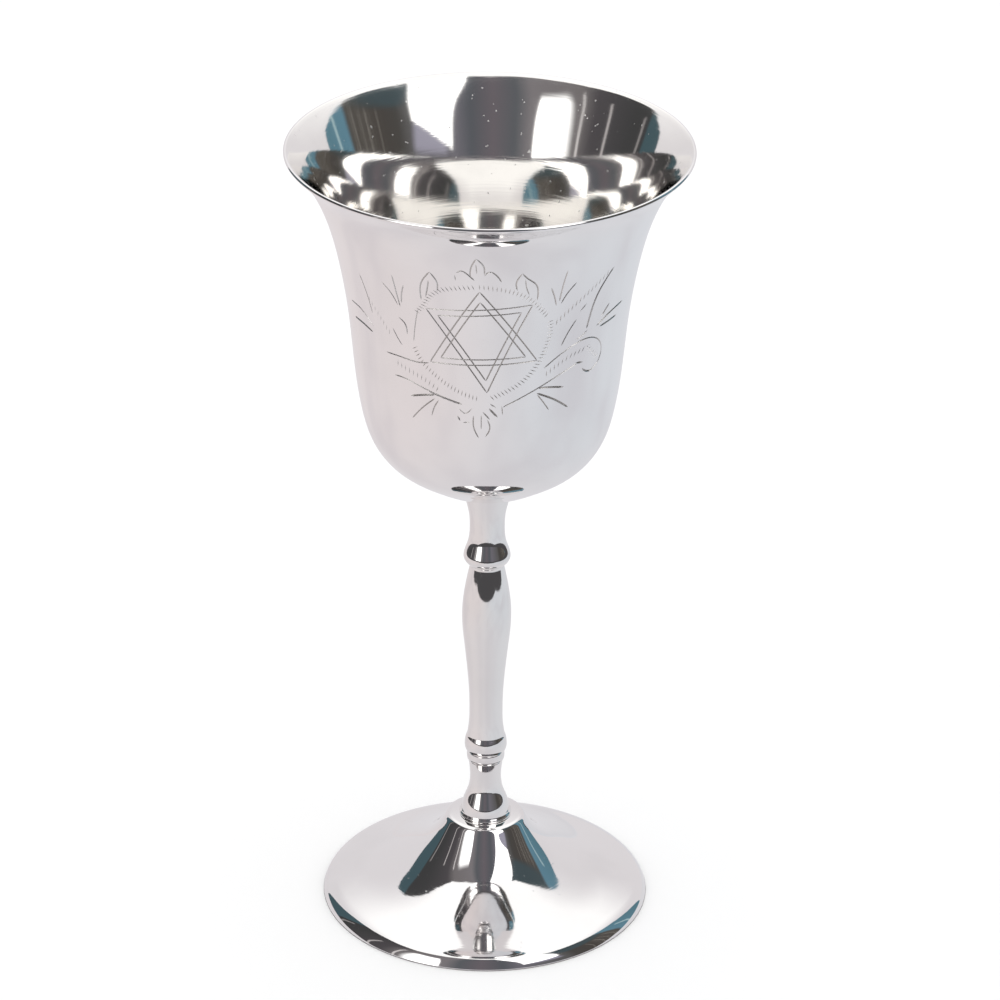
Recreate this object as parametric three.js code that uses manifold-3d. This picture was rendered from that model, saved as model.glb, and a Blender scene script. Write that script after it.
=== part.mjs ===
// A kiddush cup: a silver-plated stemmed goblet for wine, soldered up from three pieces.
//   foot  a spun brass sheet, hollow beneath, with a small flat seat on top and a turned-down edge
//   stem  a solid turned baluster with collar rings, flared at both ends
//   bowl  a spun brass sheet with a flared lip, engraved on the front with a six-pointed star
// Units are millimetres. +Z is up, the origin is on the table at the cup's axis, and the engraved
// front faces -Y.

import * as THREE from 'three';
import { mergeVertices } from 'three/addons/utils/BufferGeometryUtils.js';
import Module from 'manifold-3d';

const wasm = await Module();
wasm.setup();

// ---- driving dimensions ----
const HEIGHT = 165;
const WALL = 0.8;              // spun sheet of the bowl and the foot
const RIM_RADIUS = 39.8;
const FOOT_RADIUS = 33.3;
const SEAT_HEIGHT = 17.9;      // flat on top of the foot that the stem is soldered to
const SEAT_RADIUS = 7.0;
const STEM_BASE_RADIUS = 5.3;
const STEM_TOP = 91.6;         // where the bowl is soldered on
const STEM_TOP_RADIUS = 4.9;
const SHEET_SIDES = 40;        // facets round the bowl and the foot
const STEM_SIDES = 20;

// ---- outlines, as [radius, height] ----

// A smooth curve through the given points, as evenly spaced points.
function smooth(points, count) {
  const curve = new THREE.SplineCurve(points.map(([x, y]) => new THREE.Vector2(x, y)));
  return curve.getSpacedPoints(count).map((point) => [point.x, point.y]);
}

// The same outline moved sideways: a positive distance moves it to the left of its direction.
function beside(outline, distance) {
  return outline.map(([x, y], i) => {
    const before = outline[Math.max(i - 1, 0)];
    const after = outline[Math.min(i + 1, outline.length - 1)];
    const run = [after[0] - before[0], after[1] - before[1]];
    const length = Math.hypot(run[0], run[1]);
    return [x - distance * run[1] / length, y + distance * run[0] / length];
  });
}

// The bowl's outside: a deep rounded bottom, nearly straight sides, and a flared lip.
const BOWL_SHAPE = [
  [STEM_TOP_RADIUS + 0.6, STEM_TOP],
  [10, 93.5],
  [15, 96.4],
  [19.8, 99.9],
  [22.9, 104.2],
  [25, 111],
  [26.3, 120],
  [27.4, 131],
  [29.2, 142],
  [31.2, 150],
  [33.5, 156],
  [36.4, 160.9],
  [RIM_RADIUS, HEIGHT - 0.6],
];
const BOWL_OUTSIDE = smooth(BOWL_SHAPE, 15);

// The foot's outside: steep under the seat, sweeping out to a wide brim with a turned-down edge.
const FOOT_SWEEP = smooth([
  [SEAT_RADIUS + 1.2, SEAT_HEIGHT - 0.9],
  [10.1, 13.9],
  [13, 10.9],
  [18, 7.7],
  [24, 4.8],
  [29.3, 3],
], 6);
const FOOT_EDGE = [
  [31.3, 2.3],
  [32.7, 1.3],
  [FOOT_RADIUS, 0],
];

// The stem's outside from the foot up. Each run is smooth, and the runs meet at sharp lines.
const STEM_BELL = smooth([
  [5.0, 18.9],
  [4.5, 21.1],
  [3.6, 23.5],
  [3.15, 26.6],
  [3.4, 29.3],
  [3.6, 30.6],
], 7);
const LOWER_RINGS = [
  [3.8, 31.1],
  [3.75, 32.4],
  [4.1, 33],
  [4.3, 34.1],
  [4.1, 35.6],
  [3.9, 36.1],
];
const BALUSTER = smooth([
  [3.8, 36.3],
  [3.4, 40],
  [3.4, 45],
  [3.8, 50.8],
  [4.4, 56.8],
  [4.95, 62.8],
  [4.6, 68.4],
  [3.9, 72.6],
  [3.4, 75],
], 11);
const UPPER_RING = [
  [4.1, 75.9],
  [4.72, 77.3],
];
const STEM_NECK = smooth([
  [4.5, 78.3],
  [3.8, 80.4],
  [3.5, 83.5],
  [3.65, 86.4],
  [4.1, 88.6],
  [STEM_TOP_RADIUS, STEM_TOP],
], 6);

// ---- solids ----

// Joins a geometry's shared vertices and drops its empty triangles, so that it is one closed mesh.
function closed(geometry) {
  geometry.deleteAttribute('normal');
  geometry.deleteAttribute('uv');
  const merged = mergeVertices(geometry, 1e-4);
  const corners = merged.getIndex().array;
  const kept = [];
  for (let i = 0; i < corners.length; i += 3) {
    const [a, b, c] = [corners[i], corners[i + 1], corners[i + 2]];
    if (a !== b && b !== c && c !== a) kept.push(a, b, c);
  }
  merged.setIndex(kept);
  return merged;
}

// Turns an outline that starts and ends on the axis about +Z.
function turned(outline, sides) {
  const points = outline.map(([radius, height]) => new THREE.Vector2(radius, height));
  const geometry = new THREE.LatheGeometry(points, sides);
  geometry.rotateX(Math.PI / 2);
  return closed(geometry);
}

function toSolid(geometry) {
  return new wasm.Manifold(new wasm.Mesh({
    numProp: 3,
    vertProperties: new Float32Array(geometry.getAttribute('position').array),
    triVerts: new Uint32Array(geometry.getIndex().array),
  }));
}

function toGeometry(solid) {
  const mesh = solid.getMesh();
  const geometry = new THREE.BufferGeometry();
  geometry.setAttribute('position', new THREE.BufferAttribute(mesh.vertProperties, 3));
  geometry.setIndex(new THREE.BufferAttribute(mesh.triVerts, 1));
  return geometry;
}

function footShape() {
  const top = [[0, SEAT_HEIGHT], [SEAT_RADIUS, SEAT_HEIGHT], [SEAT_RADIUS + 0.8, SEAT_HEIGHT - 0.3]];
  const outside = [...top, ...FOOT_SWEEP, ...FOOT_EDGE];
  const below = [...FOOT_SWEEP, ...FOOT_EDGE.slice(0, 2)];
  const inside = [[SEAT_RADIUS, SEAT_HEIGHT - WALL], ...beside(below, -WALL), [FOOT_RADIUS - WALL, 0]];
  return turned([[0, SEAT_HEIGHT - WALL], ...inside, ...outside.reverse()], SHEET_SIDES);
}

function stemShape() {
  const base = [[0, SEAT_HEIGHT], [STEM_BASE_RADIUS, SEAT_HEIGHT], [STEM_BASE_RADIUS, 18.4]];
  const runs = [base, STEM_BELL, LOWER_RINGS, BALUSTER, UPPER_RING, STEM_NECK, [[0, STEM_TOP]]];
  return turned(runs.flat(), STEM_SIDES);
}

function bowlShape() {
  const inside = beside(BOWL_SHAPE, WALL).reverse();
  const lip = [RIM_RADIUS - WALL / 3, HEIGHT];
  const floor = STEM_TOP + WALL;
  return turned([[0, STEM_TOP], ...BOWL_OUTSIDE, lip, ...inside, [0, floor]], SHEET_SIDES);
}

// ---- engraving ----
// Every cut is a burin stroke: a V-shaped groove with pointed ends. A stroke's points are
// [across, up] in millimetres on the bowl's skin, from the middle of the star on the front.

const STAR_HEIGHT = 137.5;
const SKIN_RADIUS = 27;        // the radius at which distances across the front are true
const CUT_WIDTH = 0.45;
const CUT_DEPTH = 0.22;
const CUT_LIFT = 0.15;         // how far a cutter stands out of the skin
const CUT_STEP = 4.2;          // the longest straight run of a cutter round the bowl

function bowlRadiusAt(height) {
  const i = BOWL_OUTSIDE.findIndex((point) => point[1] > height);
  const [below, above] = [BOWL_OUTSIDE[i - 1], BOWL_OUTSIDE[i]];
  const share = (height - below[1]) / (above[1] - below[1]);
  return below[0] + share * (above[0] - below[0]);
}

function onSkin([across, up], lift) {
  const height = STAR_HEIGHT + up;
  const angle = across / SKIN_RADIUS;
  const radius = bowlRadiusAt(height) + lift;
  return new THREE.Vector3(radius * Math.sin(angle), -radius * Math.cos(angle), height);
}

// A stroke's points, with more put in wherever a run is too long to follow the bowl.
function stations(points) {
  const list = [points[0]];
  for (let i = 1; i < points.length; i += 1) {
    const [from, to] = [points[i - 1], points[i]];
    const length = Math.hypot(to[0] - from[0], to[1] - from[1]);
    const steps = Math.ceil(length / CUT_STEP);
    for (let k = 1; k <= steps; k += 1) {
      list.push([from[0] + (to[0] - from[0]) * k / steps, from[1] + (to[1] - from[1]) * k / steps]);
    }
  }
  if (list.length === 2) {
    list.splice(1, 0, [(list[0][0] + list[1][0]) / 2, (list[0][1] + list[1][1]) / 2]);
  }
  return list;
}

// The cutter of one stroke: a triangular section swept along the stroke, closing to a point
// above the skin at each end.
function cutter(points) {
  const path = stations(points);
  const half = CUT_WIDTH / 2 * (CUT_DEPTH + CUT_LIFT) / CUT_DEPTH;
  const last = path.length - 1;
  const vertices = [onSkin(path[0], CUT_LIFT)];
  for (let i = 1; i < last; i += 1) {
    const run = [path[i + 1][0] - path[i - 1][0], path[i + 1][1] - path[i - 1][1]];
    const scale = half / Math.hypot(run[0], run[1]);
    const side = [-run[1] * scale, run[0] * scale];
    vertices.push(onSkin([path[i][0] + side[0], path[i][1] + side[1]], CUT_LIFT));
    vertices.push(onSkin([path[i][0] - side[0], path[i][1] - side[1]], CUT_LIFT));
    vertices.push(onSkin(path[i], -CUT_DEPTH));
  }
  vertices.push(onSkin(path[last], CUT_LIFT));
  const end = vertices.length - 1;
  const faces = [];
  for (let k = 0; k < 3; k += 1) {
    const next = (k + 1) % 3;
    faces.push(0, 1 + next, 1 + k);
    for (let i = 1; i < last - 1; i += 1) {
      const [a, b] = [3 * i - 2 + k, 3 * i - 2 + next];
      faces.push(a, b, b + 3);
      faces.push(a, b + 3, a + 3);
    }
    faces.push(end, end - 3 + k, end - 3 + next);
  }
  const geometry = new THREE.BufferGeometry().setFromPoints(vertices);
  geometry.setIndex(faces);
  return toSolid(geometry);
}

// A triangle of the star, drawn as two lines: the outer one, and one inside it by the band.
const STAR_BAND = 1.2;
function starTriangle(corners) {
  const middle = [0, 1].map((k) => (corners[0][k] + corners[1][k] + corners[2][k]) / 3);
  const reach = Math.hypot(corners[0][0] - middle[0], corners[0][1] - middle[1]);
  const shrink = 1 - STAR_BAND / (reach / 2);
  const inner = corners.map((c) => [0, 1].map((k) => middle[k] + shrink * (c[k] - middle[k])));
  return [corners, inner].flatMap((t) => [[t[0], t[1]], [t[1], t[2]], [t[2], t[0]]]);
}

// Short ticks across a curve, a pitch apart. lean slants each tick along the curve.
function ticks(points, pitch, length, lean) {
  const curve = new THREE.SplineCurve(points.map(([x, y]) => new THREE.Vector2(x, y)));
  const count = Math.round(curve.getLength() / pitch);
  const list = [];
  for (let i = 0; i <= count; i += 1) {
    const at = curve.getPointAt(i / count);
    const along = curve.getTangentAt(i / count);
    const reach = along.clone().rotateAround(new THREE.Vector2(), Math.PI / 2 - lean);
    reach.multiplyScalar(length / 2);
    list.push([[at.x - reach.x, at.y - reach.y], [at.x + reach.x, at.y + reach.y]]);
  }
  return list;
}

// A pointed leaf from its foot to its tip: two bowed edges and a vein.
function leaf(foot, tip, width) {
  const run = [tip[0] - foot[0], tip[1] - foot[1]];
  const length = Math.hypot(run[0], run[1]);
  const place = (along, aside) => [
    foot[0] + run[0] * along - run[1] / length * aside,
    foot[1] + run[1] * along + run[0] / length * aside,
  ];
  const edge = (side) => [place(0.02, side * 0.3), place(0.35, side), place(0.7, side * 0.8), tip];
  return [edge(width / 2), edge(-width / 2), [place(0.25, 0), place(0.8, 0)]];
}

// Several straight strokes that leave one point.
function spray(foot, tips) {
  return tips.map((tip) => [foot, tip]);
}

const mirrored = (strokes) => strokes.map((stroke) => stroke.map(([x, y]) => [-x, y]));

const WREATH = [
  [0, 11.7],
  [7.2, 9.6],
  [11.4, 4.8],
  [12.5, 0],
  [11.6, -4.4],
  [7.8, -9.6],
  [0, -13.4],
];

// The right half of the sprig that holds the wreath: a horn of two lines that curls at its end,
// hatched between them, with sprays of grass above and below it.
const SPRIG = [
  smooth([[4, -15.2], [10.8, -11.7], [16, -8.9], [20.3, -8.2]], 4),
  smooth([[12.2, -7.5], [16.5, -4.3], [21.3, -3.2], [25.2, -5.6], [25.4, -9.2], [22.9, -10.9],
    [20.4, -8.9]], 9),
  ...ticks([[12.6, -8.9], [17.5, -6.2], [21.7, -5.4], [24.2, -7.8]], 1.4, 1.3, 0.3),
  ...spray([10.6, -12], [[16.2, -12.6], [17.9, -17.5], [13.2, -16.8]]),
  ...spray([13.4, 6.5], [[11.7, 10.7], [14.1, 14.1], [16.5, 10.7]]),
  ...spray([23.6, -1.3], [[31, 1.2], [29, -1.1], [25.8, 2.4]]),
  ...ticks([[14, 3.6], [18, 6.6], [23, 10.2]], 1.4, 1.3, 0.6),
  [[15.2, -3], [17.7, 2]],
  [[18.3, 3.5], [19.6, 4.9]],
  smooth([[20.4, -1], [21.6, 4.5], [24.9, 11.3]], 3),
  [[18.4, -2.8], [20.8, -1.4]],
];

const ENGRAVING = [
  ...starTriangle([[0, 10.4], [10.2, -5.5], [-10.1, -6.3]]),
  ...starTriangle([[0.8, -11.9], [8.5, 7.3], [-10.2, 5.7]]),
  ...ticks(WREATH, 1, 1.3, 0.15),
  ...mirrored(ticks(WREATH, 1, 1.3, 0.15)).slice(1, -1),
  ...SPRIG,
  ...mirrored(SPRIG),
  ...leaf([-0.9, 13.2], [-0.9, 19], 2.6),
  ...leaf([8.2, 8.6], [6.4, 15], 3.2),
  ...leaf([-9.8, 8.2], [-8.8, 14.6], 3.2),
  ...leaf([-0.2, -16.2], [-0.2, -22.2], 3),
  smooth([[0.1, 13.9], [1.5, 15.6], [2.4, 15], [3.1, 13]], 3),
  smooth([[-2, 13.9], [-3.4, 15.6], [-4.4, 14.8], [-4.6, 13.2]], 3),
  smooth([[0.8, -14.7], [2.9, -15.2], [3.6, -16.8], [2.8, -18.2]], 3),
  smooth([[-1.2, -14.9], [-3.6, -15.4], [-4.9, -17], [-4.4, -18.4]], 3),
  ...spray([0.6, -15], [[2.9, -17.5], [1.6, -18]]),
  ...spray([-1, -15.2], [[-3.4, -18.8], [-2.2, -18]]),
];

function engraved(geometry) {
  const cuts = wasm.Manifold.union(ENGRAVING.map(cutter));
  return toGeometry(toSolid(geometry).subtract(cuts));
}

// ---- the cup ----

// Silver plate, polished to a mirror.
function silver(color) {
  return new THREE.MeshStandardMaterial({ color, roughness: 0.08, metalness: 1 });
}

function piece(name, geometry, color) {
  const mesh = new THREE.Mesh(geometry, silver(color));
  mesh.name = name;
  return mesh;
}

const cup = new THREE.Group();
cup.add(piece('foot', footShape(), 0xdcdad8));
cup.add(piece('stem', stemShape(), 0xd9d7d5));
cup.add(piece('bowl', engraved(bowlShape()), 0xe0dedc));

export default cup;
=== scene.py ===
# A kiddush cup: a silver-plated stemmed goblet, engraved on the front, standing in soft
# studio light.
import bmesh
import bpy
import math
import numpy as np
from mathutils import Matrix, Vector


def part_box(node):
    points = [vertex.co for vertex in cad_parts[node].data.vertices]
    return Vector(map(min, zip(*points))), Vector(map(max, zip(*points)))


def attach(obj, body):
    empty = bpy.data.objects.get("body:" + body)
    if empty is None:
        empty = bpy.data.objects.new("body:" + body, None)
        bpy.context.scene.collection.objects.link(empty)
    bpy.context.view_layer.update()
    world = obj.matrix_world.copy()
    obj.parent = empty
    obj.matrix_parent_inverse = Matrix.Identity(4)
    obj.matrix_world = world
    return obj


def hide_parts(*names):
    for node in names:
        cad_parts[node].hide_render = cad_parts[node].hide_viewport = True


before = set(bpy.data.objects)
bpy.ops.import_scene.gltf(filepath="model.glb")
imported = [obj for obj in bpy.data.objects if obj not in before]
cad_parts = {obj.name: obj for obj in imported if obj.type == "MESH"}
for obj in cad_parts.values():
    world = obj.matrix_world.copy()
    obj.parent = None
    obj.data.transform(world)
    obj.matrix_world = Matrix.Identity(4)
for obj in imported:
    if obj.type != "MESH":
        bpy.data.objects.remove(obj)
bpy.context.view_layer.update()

MM = 0.001


# ---- camera ----
# A long lens a little under a metre away, looking down on the cup from its front.

LENS = 178.2
CAMERA_REACH = 880.4 * MM         # from the cup's axis, along the table
CAMERA_HEIGHT = 529.5 * MM
CAMERA_TURN = math.radians(2.2)   # round the cup's axis from straight in front
CAMERA_ROLL = math.radians(0.474)
AIM_HEIGHT = 89.3 * MM
AIM_ASIDE = 2.5 * MM

turn = Matrix.Rotation(CAMERA_TURN, 4, "Z")
eye = turn @ Vector((0, -CAMERA_REACH, CAMERA_HEIGHT))
aim = turn @ Vector((AIM_ASIDE, 0, AIM_HEIGHT))
camera = bpy.data.objects.new("camera", bpy.data.cameras.new("camera"))
camera.data.lens = LENS
camera.location = eye
look = (aim - eye).to_track_quat("-Z", "Y").to_matrix().to_4x4()
camera.rotation_euler = (look @ Matrix.Rotation(CAMERA_ROLL, 4, "Z")).to_euler()
bpy.context.scene.collection.objects.link(camera)
bpy.context.scene.camera = camera
bpy.context.scene.view_settings.view_transform = "Standard"


# ---- foot ----
# A round of brass sheet spun over a former: hollow beneath, a small flat seat on top for the
# stem, a wide brim and its edge turned down to stand on. It is silver plated and polished.

def flowing(points, spacing):
    """Points about a spacing apart on the smoothest curve through the given ones."""
    knots = np.array(points, dtype=float)
    gaps = np.hypot(*np.diff(knots, axis=0).T)
    at = np.concatenate([[0], np.cumsum(gaps)])
    count = len(knots)
    system, known = np.eye(count), np.zeros((count, 2))
    for i in range(1, count - 1):
        before, after = gaps[i - 1], gaps[i]
        system[i, i - 1:i + 2] = before, 2 * (before + after), after
        known[i] = 6 * ((knots[i + 1] - knots[i]) / after - (knots[i] - knots[i - 1]) / before)
    bend = np.linalg.solve(system, known)
    places = np.linspace(0, at[-1], max(2, round(at[-1] / spacing)) + 1)
    span = np.clip(np.searchsorted(at, places, side="right") - 1, 0, count - 2)
    ahead = ((places - at[span]) / gaps[span])[:, None]
    back = 1 - ahead
    size = gaps[span][:, None]
    curve = back * knots[span] + ahead * knots[span + 1]
    curve += size ** 2 / 6 * ((back ** 3 - back) * bend[span] + (ahead ** 3 - ahead) * bend[span + 1])
    return curve.tolist()


def beside(outline, distance):
    """An outline moved sideways, to its left for a positive distance."""
    points = np.array(outline)
    run = np.gradient(points, axis=0)
    run /= np.hypot(*run.T)[:, None]
    return (points + distance * np.stack([-run[:, 1], run[:, 0]], 1)).tolist()


def turned(name, outline, steps):
    """A solid of revolution about the cup's axis, from an outline in mm of radius and height."""
    mesh = bmesh.new()
    ring = [mesh.verts.new((radius * MM, 0, height * MM)) for radius, height in outline]
    edges = [mesh.edges.new(pair) for pair in zip(ring, ring[1:])]
    bmesh.ops.spin(mesh, geom=ring + edges, axis=(0, 0, 1), cent=(0, 0, 0),
                   angle=2 * math.pi, steps=steps, use_merge=True)
    bmesh.ops.remove_doubles(mesh, verts=mesh.verts, dist=1e-6)
    bmesh.ops.recalc_face_normals(mesh, faces=mesh.faces)
    for face in mesh.faces:
        face.smooth = True
    data = bpy.data.meshes.new(name)
    mesh.to_mesh(data)
    mesh.free()
    made = bpy.data.objects.new(name, data)
    bpy.context.scene.collection.objects.link(made)
    return made


def linear(code):
    """An sRGB hex colour as the linear values that a shader takes."""
    parts = [int(code[i:i + 2], 16) / 255 for i in (1, 3, 5)]
    return [p / 12.92 if p <= 0.04045 else ((p + 0.055) / 1.055) ** 2.4 for p in parts] + [1]


def add_node(tree, kind, settings=(), **links):
    """A shader node with its settings, and its inputs set or linked by name."""
    node = tree.nodes.new(kind)
    for key, value in dict(settings).items():
        setattr(node, key, value)
    for key, value in links.items():
        socket = node.inputs[int(key[1:])] if key[1:].isdigit() else node.inputs[key.replace("_", " ")]
        if isinstance(value, bpy.types.NodeSocket):
            tree.links.new(value, socket)
        else:
            socket.default_value = value
    return node


def reckon(tree, operation, first, second=0.0, third=0.0):
    """One sum on up to three values."""
    return add_node(tree, "ShaderNodeMath", {"operation": operation}, _0=first, _1=second,
                    _2=third).outputs[0]


def step_up(tree, value, low, high):
    """0 up to low, 1 from high on and an even change between; falls if low is above high."""
    return add_node(tree, "ShaderNodeMapRange", {"interpolation_type": "SMOOTHSTEP"}, Value=value,
                    From_Min=low, From_Max=high).outputs[0]


def laid_over(tree, share, below, above):
    """A share, from 0 to 1, of one colour over another."""
    return add_node(tree, "ShaderNodeMix", {"data_type": "RGBA"}, _0=share, _6=below,
                    _7=above).outputs[2]


LINE_PITCH = 0.5         # the buffing lines are finer than this; they are drawn coarser to show
LINE_DEPTH = 0.01
PATCH_SIZE = 14
PATCH_TONE = 0.86        # how bright the dullest patches are beside clean silver
SPECK_SPACING = 0.9


def polished_silver(name, tint, lines, haze, specks):
    """Silver plate on brass, buffed as it turned: nearly white and a clear mirror, drawn out a
    little across the fine lines that the buff left round it, with cloudy patches from handling
    and, on an older face, pale specks."""
    material = bpy.data.materials.new(name)
    material.use_nodes = True
    tree = material.node_tree
    shader = tree.nodes["Principled BSDF"]
    spot = add_node(tree, "ShaderNodeTexCoord").outputs["Object"]
    place = add_node(tree, "ShaderNodeSeparateXYZ", _0=spot).outputs
    across = reckon(tree, "MULTIPLY", place["X"], place["X"])
    out = reckon(tree, "SQRT", reckon(tree, "MULTIPLY_ADD", place["Y"], place["Y"], across))
    wander = reckon(tree, "MULTIPLY", place["X"], 0.02)
    rings = add_node(tree, "ShaderNodeCombineXYZ", X=out, Y=place["Z"], Z=wander).outputs[0]
    rings = add_node(tree, "ShaderNodeTexNoise", Vector=rings, Scale=1 / (LINE_PITCH * MM),
                     Detail=3.0, Roughness=0.6).outputs[0]
    patches = add_node(tree, "ShaderNodeTexNoise", Vector=spot, Scale=1 / (PATCH_SIZE * MM),
                       Detail=3.0).outputs[0]
    dots = add_node(tree, "ShaderNodeTexNoise", Vector=spot, Scale=1 / (SPECK_SPACING * MM),
                    Detail=1.0).outputs[0]
    dots = reckon(tree, "MULTIPLY", step_up(tree, dots, 0.74, 0.78), specks)
    cloudy = reckon(tree, "MULTIPLY", step_up(tree, patches, 0.4, 0.8), 0.3)
    shade = [PATCH_TONE * part for part in linear(tint)[:3]] + [1]
    colour = laid_over(tree, cloudy, linear(tint), shade)
    rough = reckon(tree, "MULTIPLY_ADD", patches, 0.05, haze)
    rough = reckon(tree, "MULTIPLY_ADD", dots, 0.5, rough)
    tree.links.new(colour, shader.inputs["Base Color"])
    tree.links.new(rough, shader.inputs["Roughness"])
    tree.links.new(add_node(tree, "ShaderNodeBump", Strength=lines, Distance=LINE_DEPTH * MM,
                            Height=rings).outputs[0], shader.inputs["Normal"])
    shader.inputs["Metallic"].default_value = 1
    return material


WALL = 0.8
seat_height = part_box("foot")[1].z / MM
foot_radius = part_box("foot")[1].x / MM
FOOT_SWEEP = [(8.2, seat_height - 0.9), (10.1, 13.9), (13, 10.9), (18, 7.7), (24, 4.8), (29.3, 3),
              (31.3, 2.3), (32.7, 1.3), (foot_radius, 0)]
seat = [(0, seat_height), (6.8, seat_height), (7.4, seat_height - 0.1), (7.9, seat_height - 0.4)]
sweep = flowing(FOOT_SWEEP, 0.35)
inside = beside(sweep, -WALL)
inside[-1] = (foot_radius - WALL, 0)
inside = [point for point in inside if point[1] < seat_height - WALL]
under = [(0, seat_height - WALL), (7, seat_height - WALL)]
foot = turned("foot_sheet", under + inside + (seat + sweep)[::-1], 192)
foot.data.materials.append(polished_silver("polished_silver_foot", "#f4f2f1", 0.25, 0.02, 0.3))
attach(foot, "root")
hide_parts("foot")


# ---- stem ----
# A solid brass baluster turned on a lathe, with collar rings that end in crisp lines. It is
# soldered to the foot's seat at its bell-shaped base and to the bowl at its flared top.

stem_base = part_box("stem")[0].z / MM
stem_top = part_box("stem")[1].z / MM
FINE = 0.3
stem_runs = [
    [(0, stem_base), (5.3, stem_base), (5.3, 18.35), (5.15, 18.5)],
    flowing([(5.0, 18.7), (4.95, 19.1), (4.5, 21.1), (3.6, 23.5), (3.15, 26.6), (3.35, 29.3),
             (3.55, 30.6)], FINE),
    flowing([(3.75, 30.8), (3.85, 31.5), (3.75, 32.4)], FINE),
    flowing([(4.0, 32.8), (4.25, 33.6), (4.28, 34.4), (4.1, 35.6), (3.95, 36.1)], FINE),
    flowing([(3.82, 36.3), (3.5, 38.6), (3.37, 42), (3.45, 46), (3.8, 50.8), (4.42, 56.8),
             (4.94, 62.8), (4.65, 68.2), (3.9, 72.6), (3.4, 75)], FINE),
    flowing([(3.5, 75.3), (4.2, 75.9), (4.7, 76.9), (4.7, 77.4), (4.45, 78.4), (3.8, 80.4),
             (3.5, 83.5), (3.65, 86.4), (4.1, 88.6), (4.9, stem_top)], FINE),
    [(0, stem_top)],
]
stem = turned("stem_baluster", [point for run in stem_runs for point in run], 96)
stem.data.materials.append(polished_silver("polished_silver_stem", "#f2f0ee", 0.2, 0.02, 0.0))
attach(stem, "root")
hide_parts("stem")


# ---- bowl ----
# A deep cup spun from brass sheet, its lip flared and rounded over.

rim_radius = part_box("bowl")[1].x / MM
rim_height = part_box("bowl")[1].z / MM
bowl_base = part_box("bowl")[0].z / MM
BOWL_SHAPE = [(5.5, bowl_base), (10, 93.5), (15, 96.4), (19.8, 99.9), (22.9, 104.2), (25, 111),
              (26.3, 120), (27.4, 131), (29.2, 142), (31.2, 150), (33.5, 156), (36.4, 160.9),
              (rim_radius - 0.2, rim_height - 0.75)]
bowl_outside = flowing(BOWL_SHAPE, 0.8)
bowl_inside = beside(bowl_outside, WALL)
lip_out, lip_in = np.array(bowl_outside[-1]), np.array(bowl_inside[-1])
middle, radius = (lip_out + lip_in) / 2, WALL / 2
start = math.atan2(*(lip_out - middle)[::-1])
lip = [(middle[0] + radius * math.cos(start + math.pi * k / 8),
        middle[1] + radius * math.sin(start + math.pi * k / 8)) for k in range(1, 8)]
outline = [(0, bowl_base)] + bowl_outside + lip + bowl_inside[::-1] + [(0, bowl_base + WALL)]
bowl = turned("bowl_sheet", outline, 240)
SKIN_FINISH, CUT_FINISH, INSIDE_FINISH = range(3)
silver_skin = polished_silver("polished_silver_bowl", "#f5f3f2", 0.1, 0.02, 0.0)
silver_inside = polished_silver("buffed_silver_inside", "#f7f5f2", 0.7, 0.045, 1.0)

# The engraving: strokes cut by hand with a pointed graver, V-shaped, swelling from a fine point
# and running out to one. Places are mm across the front, counted on a 27 mm radius, and height.
SKIN_RADIUS = 27
FINE_CUT, CUT, DEEP_CUT = 0.2, 0.27, 0.42      # widths in mm
STAR_BAND = 1.25
ENGRAVED = (114, 158)    # the heights it lies between


def star_triangle(corners):
    """Two lines along each side, the inner one a band further in."""
    corners = np.array(corners)
    middle = corners.mean(axis=0)
    reach = np.hypot(*(corners - middle).T).mean() / 2
    inner = middle + (corners - middle) * (1 - STAR_BAND / reach)
    return [(CUT, [t[i], t[i - 1]]) for t in (corners, inner) for i in range(3)]


def ticks(path, pitch, length, lean):
    """Short strokes across a path, slanted from square to it by an angle in degrees."""
    line = np.array(flowing(path, pitch))
    across = np.gradient(line, axis=0)
    across /= np.hypot(*across.T)[:, None]
    angle = math.radians(90 + lean)
    across = across @ np.array([[math.cos(angle), math.sin(angle)],
                                [-math.sin(angle), math.cos(angle)]]) * length / 2
    return [(FINE_CUT, [point - half, point + half]) for point, half in zip(line, across)]


WREATH = [
    [(-0.5, 149.4), (4, 148.5), (7, 147), (9.5, 144.6), (11.4, 142)],
    [(12.3, 140.4), (12.5, 137.5), (12, 135), (10.9, 132), (9.5, 129.7), (7.5, 127.6), (4.5, 125.7),
     (1.8, 124.4)],
    [(-1.6, 149.3), (-4, 148.9), (-7, 148), (-9, 146.4), (-10.7, 143.6), (-12, 142)],
    [(-13.3, 133.6), (-12, 131), (-10, 129), (-7, 126.8), (-4, 125.2), (-1.2, 124.2)],
]
HATCHING = [
    ticks([(12.4, 128.7), (15, 130.4), (18, 131.6), (20.4, 132)], 0.95, 1.3, -35),
    ticks([(21.4, 132.3), (22.8, 130.9), (24.3, 129.4)], 0.9, 1.3, -10),
    ticks([(-17.6, 129), (-15, 128.2), (-12, 127.2), (-9, 125.4)], 0.95, 1.3, 12),
    ticks([(13.6, 140), (16, 142.2), (19, 144.6), (23.4, 148)], 0.95, 1.5, -45),
    ticks([(-23.4, 141), (-21, 138), (-19, 135.4)], 1.0, 1.3, 40),
]
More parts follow.
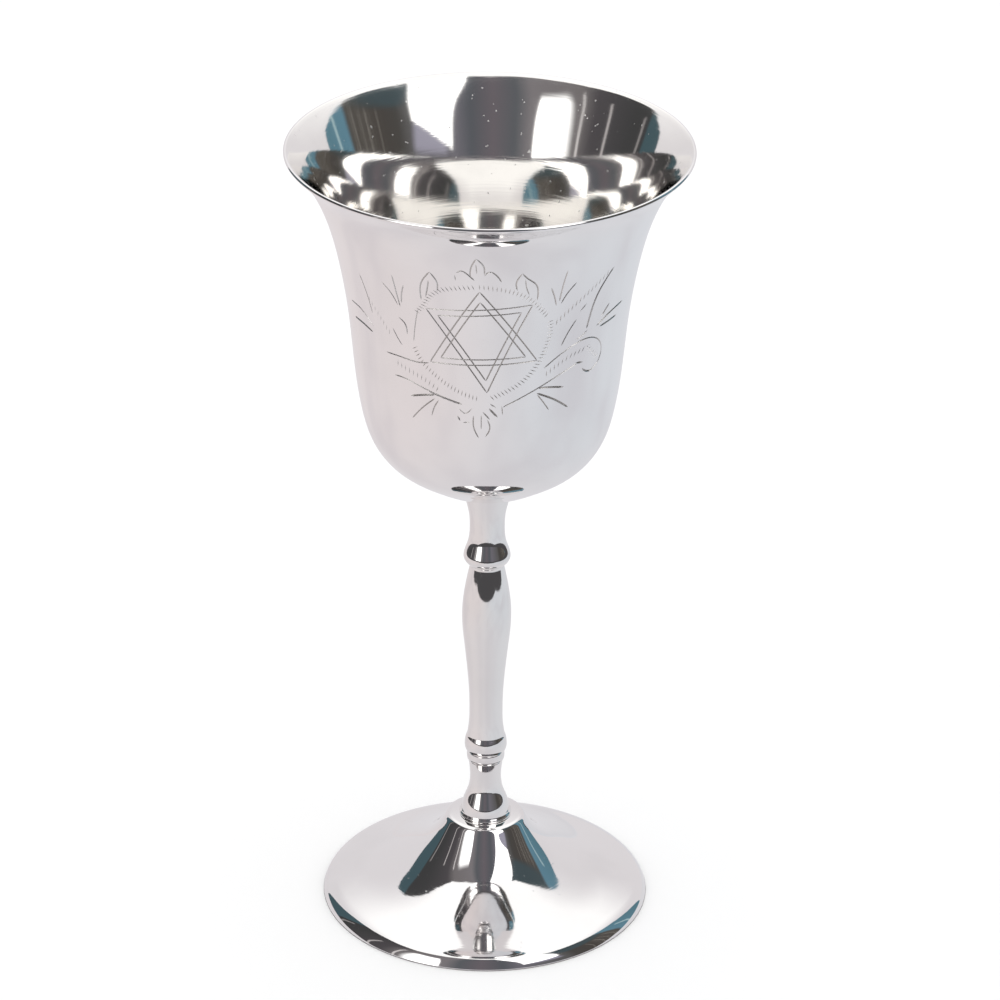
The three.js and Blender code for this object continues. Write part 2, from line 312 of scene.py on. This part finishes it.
STROKES = [
    # leaves round the wreath, and their veins
    (CUT, [(-2, 151.6), (-1.8, 154), (-0.9, 156.4)]),
    (CUT, [(0.3, 152.4), (0.2, 154.5), (-0.9, 156.4)]),
    (FINE_CUT, [(-1, 155), (-0.9, 152.6)]),
    (CUT, [(0.3, 152.1), (1.2, 153.1), (2.3, 152.2), (3.1, 150.6)]),
    (CUT, [(-1.3, 150.9), (-2.4, 152.4), (-3.4, 153.1), (-4.2, 152.5)]),
    (CUT, [(-4.5, 152), (-4.4, 150.7)]),
    (CUT, [(5.8, 148.5), (5.5, 150.1), (6.4, 152.5)]),
    (CUT, [(6.4, 152.5), (7.4, 151.1), (8.7, 149.8), (9.4, 145.8)]),
    (FINE_CUT, [(7, 151), (7.3, 149), (7.9, 147.2)]),
    (CUT, [(-10.9, 145), (-10.7, 148.4), (-8.7, 152)]),
    (CUT, [(-8.7, 152), (-7.6, 149.6), (-7.8, 147.5)]),
    (CUT, [(-9.1, 149.9), (-9.5, 147.9), (-10, 145.9)]),
    (CUT, [(-1.8, 120.4), (-1.8, 117.8), (-0.8, 115.4)]),
    (CUT, [(0.9, 119.6), (1.4, 117.6), (0.5, 115.7)]),
    (FINE_CUT, [(-0.3, 120.6), (-0.3, 117.4)]),
    (DEEP_CUT, [(1.2, 122.1), (2.9, 120.1)]),
    (CUT, [(0, 121.3), (1.4, 119.6)]),
    (CUT, [(1.4, 123.1), (2.6, 122.2)]),
    (FINE_CUT, [(3.7, 122.6), (3.9, 120.6)]),
    (DEEP_CUT, [(-5, 120.1), (-4.5, 119)]),
    (FINE_CUT, [(-4.6, 121.7), (-3.6, 120.8), (-2.1, 122)]),
    (CUT, [(-3.9, 118.7), (-2.5, 118.9)]),
    # the right horn and its curl
    (CUT, [(3.9, 122.3), (10.8, 125.8), (16, 128.2), (19.3, 129.4)]),
    (DEEP_CUT, [(18.8, 129.5), (20.6, 129.2)]),
    (CUT, [(11.8, 130), (14.2, 131.8), (17.3, 133.5), (20.6, 134.3), (23.2, 133.7), (25.1, 132),
           (25.7, 129.6), (24.9, 127.8), (22.8, 126.6)]),
    (DEEP_CUT, [(23.4, 126.7), (22.2, 126.7), (20.6, 127.8)]),
    # the left horn
    (DEEP_CUT, [(-10.8, 124.6), (-9, 124.1), (-4, 122.7)]),
    (CUT, [(-18.6, 126.1), (-16, 126.1), (-13.4, 125.5), (-10, 124.5)]),
    (CUT, [(-10.5, 130.9), (-13, 130.5), (-16, 130.6), (-20.4, 130.5)]),
    # sprays of grass below and above the horns
    (DEEP_CUT, [(10.8, 125.8), (13.6, 125.5), (16.4, 124.9)]),
    (DEEP_CUT, [(10.6, 124.7), (14, 122.9), (17.8, 120.1)]),
    (CUT, [(10.7, 124.4), (12, 122.6), (13.4, 120.5)]),
    (DEEP_CUT, [(-9.6, 124), (-12, 123.5), (-14.9, 122.6)]),
    (CUT, [(-9.6, 123.2), (-12.2, 120.8), (-14.9, 117.7)]),
    (CUT, [(-8.8, 123), (-9.8, 121.2), (-10.4, 119.3)]),
    (CUT, [(13.1, 143.8), (12.7, 145.4), (11.7, 148.2)]),
    (CUT, [(13.6, 144.7), (13.8, 147.6), (14.2, 151.7)]),
    (CUT, [(14, 144.1), (14.8, 145.9), (16.5, 148.3)]),
    (CUT, [(-15.5, 142.2), (-15.8, 144.5), (-16.2, 149.2)]),
    (CUT, [(-15.1, 143.1), (-14.8, 145.2), (-14.1, 147.4)]),
    (FINE_CUT, [(-16, 142.4), (-17.2, 144.8), (-18.9, 146.6)]),
    (FINE_CUT, [(-11.8, 142.6), (-12.7, 139), (-13.4, 135)]),
    (CUT, [(-16.2, 139.6), (-15, 138.6), (-14.7, 136.2)]),
    (FINE_CUT, [(-18, 136.6), (-17.1, 134.8), (-16.1, 133.3)]),
    (CUT, [(15.1, 134.3), (16.3, 137), (17.8, 139.5)]),
    (CUT, [(18.3, 134.7), (19.5, 135.2), (20.9, 136.2)]),
    (CUT, [(18.4, 141.1), (19.6, 142.5)]),
    (DEEP_CUT, [(20.6, 136.6), (21, 139.6), (21.9, 143.6), (24.8, 148.9)]),
    (DEEP_CUT, [(23.2, 136.3), (26.3, 137.8), (31, 138.7)]),
    (DEEP_CUT, [(24.2, 135.8), (29.4, 136.3)]),
    (DEEP_CUT, [(24.2, 138), (26, 140.3)]),
    (CUT, [(-25.1, 146), (-23.9, 142), (-23.2, 138)]),
    (DEEP_CUT, [(-24, 133.5), (-27, 134.1), (-30.8, 134)]),
    (CUT, [(-23.6, 135), (-27, 137.2), (-31.4, 137.3)]),
]
STROKES += star_triangle([(-0.5, 148.3), (10.3, 132), (-10.2, 131.2)])
STROKES += star_triangle([(0.8, 125.5), (8.7, 144.8), (-10.2, 143.2)])
STROKES += [tick for path in WREATH for tick in ticks(path, 0.74, 1.25, 12)]
STROKES += [tick for row in HATCHING for tick in row]

CUT_STEP = 0.3
graver = bpy.data.curves.new("graver_point", "CURVE")      # its section, for a cut 1 mm wide
section = graver.splines.new("POLY")
section.points.add(2)
for point, place in zip(section.points, ((-0.75, 0.25), (0.75, 0.25), (0, -0.5))):
    point.co = (place[0] * MM, place[1] * MM, 0, 1)
section.use_cyclic_u = True
drawing = bpy.data.curves.new("strokes", "CURVE")
drawing.dimensions = "2D"
drawing.fill_mode = "NONE"
drawing.bevel_mode = "OBJECT"
drawing.bevel_object = bpy.data.objects.new("graver_point", graver)
drawing.use_fill_caps = True
for width, points in STROKES:
    line = flowing(points, CUT_STEP)
    stroke = drawing.splines.new("POLY")
    stroke.points.add(len(line) - 1)
    for k, (point, (across, up)) in enumerate(zip(stroke.points, line)):
        from_end = CUT_STEP * min(k, len(line) - 1 - k)
        point.co = (across * MM, up * MM, 0, 1)
        point.radius = width * min(1, 0.15 + 1.4 * from_end)
drawn = bpy.data.objects.new("strokes", drawing)
bpy.context.scene.collection.objects.link(drawn)
strokes = bpy.data.meshes.new_from_object(
    drawn.evaluated_get(bpy.context.evaluated_depsgraph_get()))
bpy.data.objects.remove(drawn)

# The strokes are laid round the bowl, cut out of it and given a duller finish of their own.
flat = np.empty(len(strokes.vertices) * 3)
strokes.vertices.foreach_get("co", flat)
flat = flat.reshape(-1, 3)
skin = np.array(bowl_outside) * MM
radius = np.interp(flat[:, 1], skin[:, 1], skin[:, 0]) + flat[:, 2]
angle = flat[:, 0] / (SKIN_RADIUS * MM)
laid = np.stack([radius * np.sin(angle), -radius * np.cos(angle), flat[:, 1]], 1)
strokes.vertices.foreach_set("co", laid.ravel())
cutter = bpy.data.objects.new("cutter", strokes)
bpy.context.scene.collection.objects.link(cutter)
cut_silver = polished_silver("engraved_cut_silver", "#dcd9d6", 0.1, 0.36, 0.0)
for each in (bowl, cutter):
    for finish in (silver_skin, cut_silver, silver_inside):
        each.data.materials.append(finish)
strokes.polygons.foreach_set("material_index", [CUT_FINISH] * len(strokes.polygons))
mid_floor = (bowl_base + WALL / 2) * MM
mid_wall = np.interp([face.center.z for face in bowl.data.polygons], skin[:, 1], skin[:, 0])
mid_wall -= WALL / 2 * MM
for face, edge in zip(bowl.data.polygons, mid_wall):
    if math.hypot(face.center.x, face.center.y) < edge and face.center.z > mid_floor:
        face.material_index = INSIDE_FINISH
cutting = bowl.modifiers.new("engraving", "BOOLEAN")
cutting.operation = "DIFFERENCE"
cutting.object = cutter
cutting.solver = "EXACT"
cutting.use_self = True
cut = bpy.data.meshes.new_from_object(
    bowl.evaluated_get(bpy.context.evaluated_depsgraph_get()))
bowl.modifiers.clear()
bowl.data = cut
bpy.data.objects.remove(cutter)

# The cuts are flat-sided; the skin between them keeps the bowl's own even curve.
finish = np.empty(len(cut.polygons), dtype=np.int32)
cut.polygons.foreach_get("material_index", finish)
cut.polygons.foreach_set("use_smooth", finish != CUT_FINISH)
sides = np.empty(len(cut.polygons), dtype=np.int32)
cut.polygons.foreach_get("loop_total", sides)
corner = np.empty(len(cut.loops), dtype=np.int32)
cut.loops.foreach_get("vertex_index", corner)
spots = np.empty(len(cut.vertices) * 3)
cut.vertices.foreach_get("co", spots)
spots = spots.reshape(-1, 3)[corner]
facing = np.empty(len(cut.loops) * 3)
cut.corner_normals.foreach_get("vector", facing)
facing = facing.reshape(-1, 3)
out = np.hypot(spots[:, 0], spots[:, 1])
on_skin = abs(out - np.interp(spots[:, 2], skin[:, 1], skin[:, 0])) < 0.02 * MM
on_skin &= (spots[:, 2] > ENGRAVED[0] * MM) & (spots[:, 2] < ENGRAVED[1] * MM)
on_skin &= np.repeat(finish, sides) != CUT_FINISH
run = np.gradient(skin, axis=0)
lean = np.interp(spots[on_skin, 2], skin[:, 1], np.arctan2(run[:, 0], run[:, 1]))
facing[on_skin] = np.stack([np.cos(lean) * spots[on_skin, 0] / out[on_skin],
                            np.cos(lean) * spots[on_skin, 1] / out[on_skin], -np.sin(lean)], 1)
cut.normals_split_custom_set(facing.tolist())
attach(bowl, "root")
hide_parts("bowl")


# ---- studio ----
# A pale table, a white surround, and cards that only the silver sees: a light tent round the
# back and sides, open at the front on a darker room with two windows.

def light_source(name):
    """A material with nothing in it yet, for shining() to finish, and its node tree."""
    material = bpy.data.materials.new(name)
    material.use_nodes = True
    material.node_tree.nodes.clear()
    return material, material.node_tree


def shining(tree, colour):
    """Makes a material give out light of a colour, and nothing else."""
    light = add_node(tree, "ShaderNodeEmission", Color=colour)
    add_node(tree, "ShaderNodeOutputMaterial", Surface=light.outputs[0])


def card(name, mesh, material):
    """A stage piece that only mirror reflections see."""
    for face in mesh.faces:
        face.smooth = True
    data = bpy.data.meshes.new(name)
    mesh.to_mesh(data)
    mesh.free()
    data.materials.append(material)
    made = bpy.data.objects.new(name, data)
    bpy.context.scene.collection.objects.link(made)
    made.visible_camera = False
    made.visible_diffuse = False
    made.visible_shadow = False
    made.visible_transmission = False
    return made


def plate(name, corners, material):
    """A flat card from its corners."""
    mesh = bmesh.new()
    mesh.faces.new([mesh.verts.new(corner) for corner in corners])
    return card(name, mesh, material)


table = bpy.data.objects.new("table", bpy.data.meshes.new("table"))
mesh = bmesh.new()
bmesh.ops.create_grid(mesh, x_segments=1, y_segments=1, size=20)
mesh.to_mesh(table.data)
mesh.free()
bpy.context.scene.collection.objects.link(table)
paper = bpy.data.materials.new("white_paper")
paper.use_nodes = True
paper.node_tree.nodes["Principled BSDF"].inputs["Base Color"].default_value = linear("#f6f6f6")
paper.node_tree.nodes["Principled BSDF"].inputs["Roughness"].default_value = 0.9
table.data.materials.append(paper)

world = bpy.data.worlds.new("white_surround")
world.use_nodes = True
world.node_tree.nodes["Background"].inputs["Color"].default_value = (1, 1, 1, 1)
world.node_tree.nodes["Background"].inputs["Strength"].default_value = 1.12
bpy.context.scene.world = world

ROOM = 1.5               # metres, as all sizes of the studio
EYE_LEVEL = 0.13         # the height in the room that azimuths and heights are counted from
ROOM_TONES = [(-131, "#465a61"), (-113.5, "#465a61"), (-113, "#404041"), (-100, "#424243"),
              (-70, "#504d50"), (-58, "#757172"), (-25, "#7e7a7d"), (-15, "#5c5f64"),
              (0, "#6a646a"), (15, "#595c62"), (26, "#706e76"), (60, "#5c5b5b"), (66, "#4c4a48"),
              (82, "#4b4744"), (105, "#55524e"), (106, "#62889a"), (131, "#597d8a")]
PIPES = [(-60.5, 55, "#d8d4d4"), (-81, 45, "#bdb8b8"), (-109, 33, "#949090"),
         (116, 35, "#aac3c8")]       # bright upright edges: where, up to what height, colour


def together(tree, first, *others):
    """The product of several shares."""
    for other in others:
        first = reckon(tree, "MULTIPLY", first, other)
    return first


room_light, tree = light_source("room_light")
place = add_node(tree, "ShaderNodeSeparateXYZ",
                 _0=add_node(tree, "ShaderNodeTexCoord").outputs["Object"]).outputs
ahead = reckon(tree, "MULTIPLY", place["Y"], -1.0)
around = reckon(tree, "DEGREES", reckon(tree, "ARCTAN2", place["X"], ahead))
height = reckon(tree, "DEGREES", reckon(tree, "ARCSINE", reckon(tree, "DIVIDE", place["Z"], ROOM)))
height = reckon(tree, "MAXIMUM", height, 0.0)
lean = reckon(tree, "MULTIPLY", reckon(tree, "POWER", height, 3.0), 1.8e-6)
upright = reckon(tree, "DIVIDE", around, reckon(tree, "ADD", lean, 1.0))
tones = add_node(tree, "ShaderNodeValToRGB", _0=reckon(tree, "MULTIPLY_ADD", upright, 1 / 360, 0.5))
stops = tones.color_ramp.elements
stops.remove(stops[1])
for azimuth, code in ROOM_TONES:
    stop = stops.new(0.5 + azimuth / 360)
    stop.color = linear(code)
light = tones.outputs[0]
streaks = add_node(tree, "ShaderNodeTexNoise", {"noise_dimensions": "1D"}, W=upright, Scale=0.9,
                   Detail=2.0, Roughness=0.7).outputs[0]
streaks = together(tree, step_up(tree, streaks, 0.5, 0.75), step_up(tree, upright, 76, 84),
                   step_up(tree, upright, 105, 100), step_up(tree, height, 45, 35))
light = laid_over(tree, streaks, light, linear("#8f8b86"))
for azimuth, top, code in PIPES:
    side = reckon(tree, "ABSOLUTE", reckon(tree, "SUBTRACT", upright, azimuth))
    pipe = together(tree, step_up(tree, side, 1.2, 0.5), step_up(tree, height, top + 1, top - 1))
    light = laid_over(tree, pipe, light, linear(code))
shade = together(tree, step_up(tree, around, 62, 78), step_up(tree, upright, 105, 104),
                 step_up(tree, height, 38, 48), 0.7)
light = laid_over(tree, shade, light, linear("#44565d"))
window = [2.0, 2.0, 2.0, 1]
swept = reckon(tree, "MULTIPLY_ADD", lean, 40.0, around)
left = together(tree, step_up(tree, swept, -58, -48), step_up(tree, swept, -27, -29),
                step_up(tree, height, 60, 47))
light = laid_over(tree, left, light, window)
sill = reckon(tree, "SUBTRACT", height, reckon(tree, "MULTIPLY_ADD", around, 0.47, 3.0))
low = together(tree, step_up(tree, around, 30, 36), step_up(tree, around, 60, 54),
               step_up(tree, height, 12, 17), step_up(tree, sill, 1, -1))
light = laid_over(tree, low, light, linear("#9f9dac"))
right = together(tree, step_up(tree, around, 28, 30), step_up(tree, upright, 57, 54),
                 step_up(tree, sill, -1, 1))
light = laid_over(tree, right, light, window)
shining(tree, light)

mesh = bmesh.new()
bmesh.ops.create_uvsphere(mesh, u_segments=64, v_segments=32, radius=ROOM)
room = card("room", mesh, room_light)
room.location.z = EYE_LEVEL

TENT_SIDE = 0.25
TENT_BACK = 0.45
TENT_TOP = 0.57
# The edge of each side wall, in y and z: it stands behind the cup and leans forward above it.
TENT_EDGE = [(0.22, 0), (0.22, 0.3), (0.195, 0.36), (0.144, 0.42), (0.067, 0.5), (0, TENT_TOP)]
# The front edge of its top, in x and y.
TENT_BROW = [(-TENT_SIDE, 0), (-0.15, -0.065), (0, -0.1), (0.15, -0.065), (TENT_SIDE, 0)]
cloth, tree = light_source("tent_cloth")
place = add_node(tree, "ShaderNodeSeparateXYZ",
                 _0=add_node(tree, "ShaderNodeTexCoord").outputs["Object"]).outputs
glare = [1.15, 1.15, 1.15, 1]
light = laid_over(tree, step_up(tree, place["Z"], 0.22, 0.55), linear("#e2dfe2"), glare)
shining(tree, light)
for side, name in ((-TENT_SIDE, "tent_left"), (TENT_SIDE, "tent_right")):
    plate(name, [(side, y, z) for y, z in TENT_EDGE + [(TENT_BACK, TENT_TOP), (TENT_BACK, 0)]], cloth)
plate("tent_top", [(x, y, TENT_TOP) for x, y in TENT_BROW + [(TENT_SIDE, TENT_BACK),
                                                            (-TENT_SIDE, TENT_BACK)]], cloth)
plate("tent_back", [(x, TENT_BACK, z) for x, z in ((-TENT_SIDE, 0), (TENT_SIDE, 0),
                                                   (TENT_SIDE, TENT_TOP), (-TENT_SIDE, TENT_TOP))],
      cloth)

ROOM_FLOOR, SHEET_TOP = 0.0001, 0.0002
floor_light, tree = light_source("room_floor")
shining(tree, linear("#4c4b4d"))
plate("room_floor_card", [(x, y, ROOM_FLOOR) for x, y in ((-ROOM, -ROOM), (ROOM, -ROOM),
                                                         (ROOM, ROOM), (-ROOM, ROOM))],
      floor_light)
sheet, tree = light_source("table_sheet")
spot = add_node(tree, "ShaderNodeTexCoord").outputs["Object"]
place = add_node(tree, "ShaderNodeSeparateXYZ", _0=spot).outputs
light = laid_over(tree, step_up(tree, place["X"], -0.2, 0.2), linear("#e6dfe0"), linear("#dadee4"))
clouds = add_node(tree, "ShaderNodeTexNoise", Vector=spot, Scale=7.0, Detail=2.0).outputs[0]
light = laid_over(tree, reckon(tree, "MULTIPLY", step_up(tree, clouds, 0.4, 0.75), 0.35), light,
                  linear("#c4bfc6"))
shining(tree, light)
plate("sheet_card", [(x, y, SHEET_TOP) for x, y in ((-0.42, -0.33), (0.36, -0.33),
                                                   (0.36, 1.4), (-0.42, 1.4))], sheet)
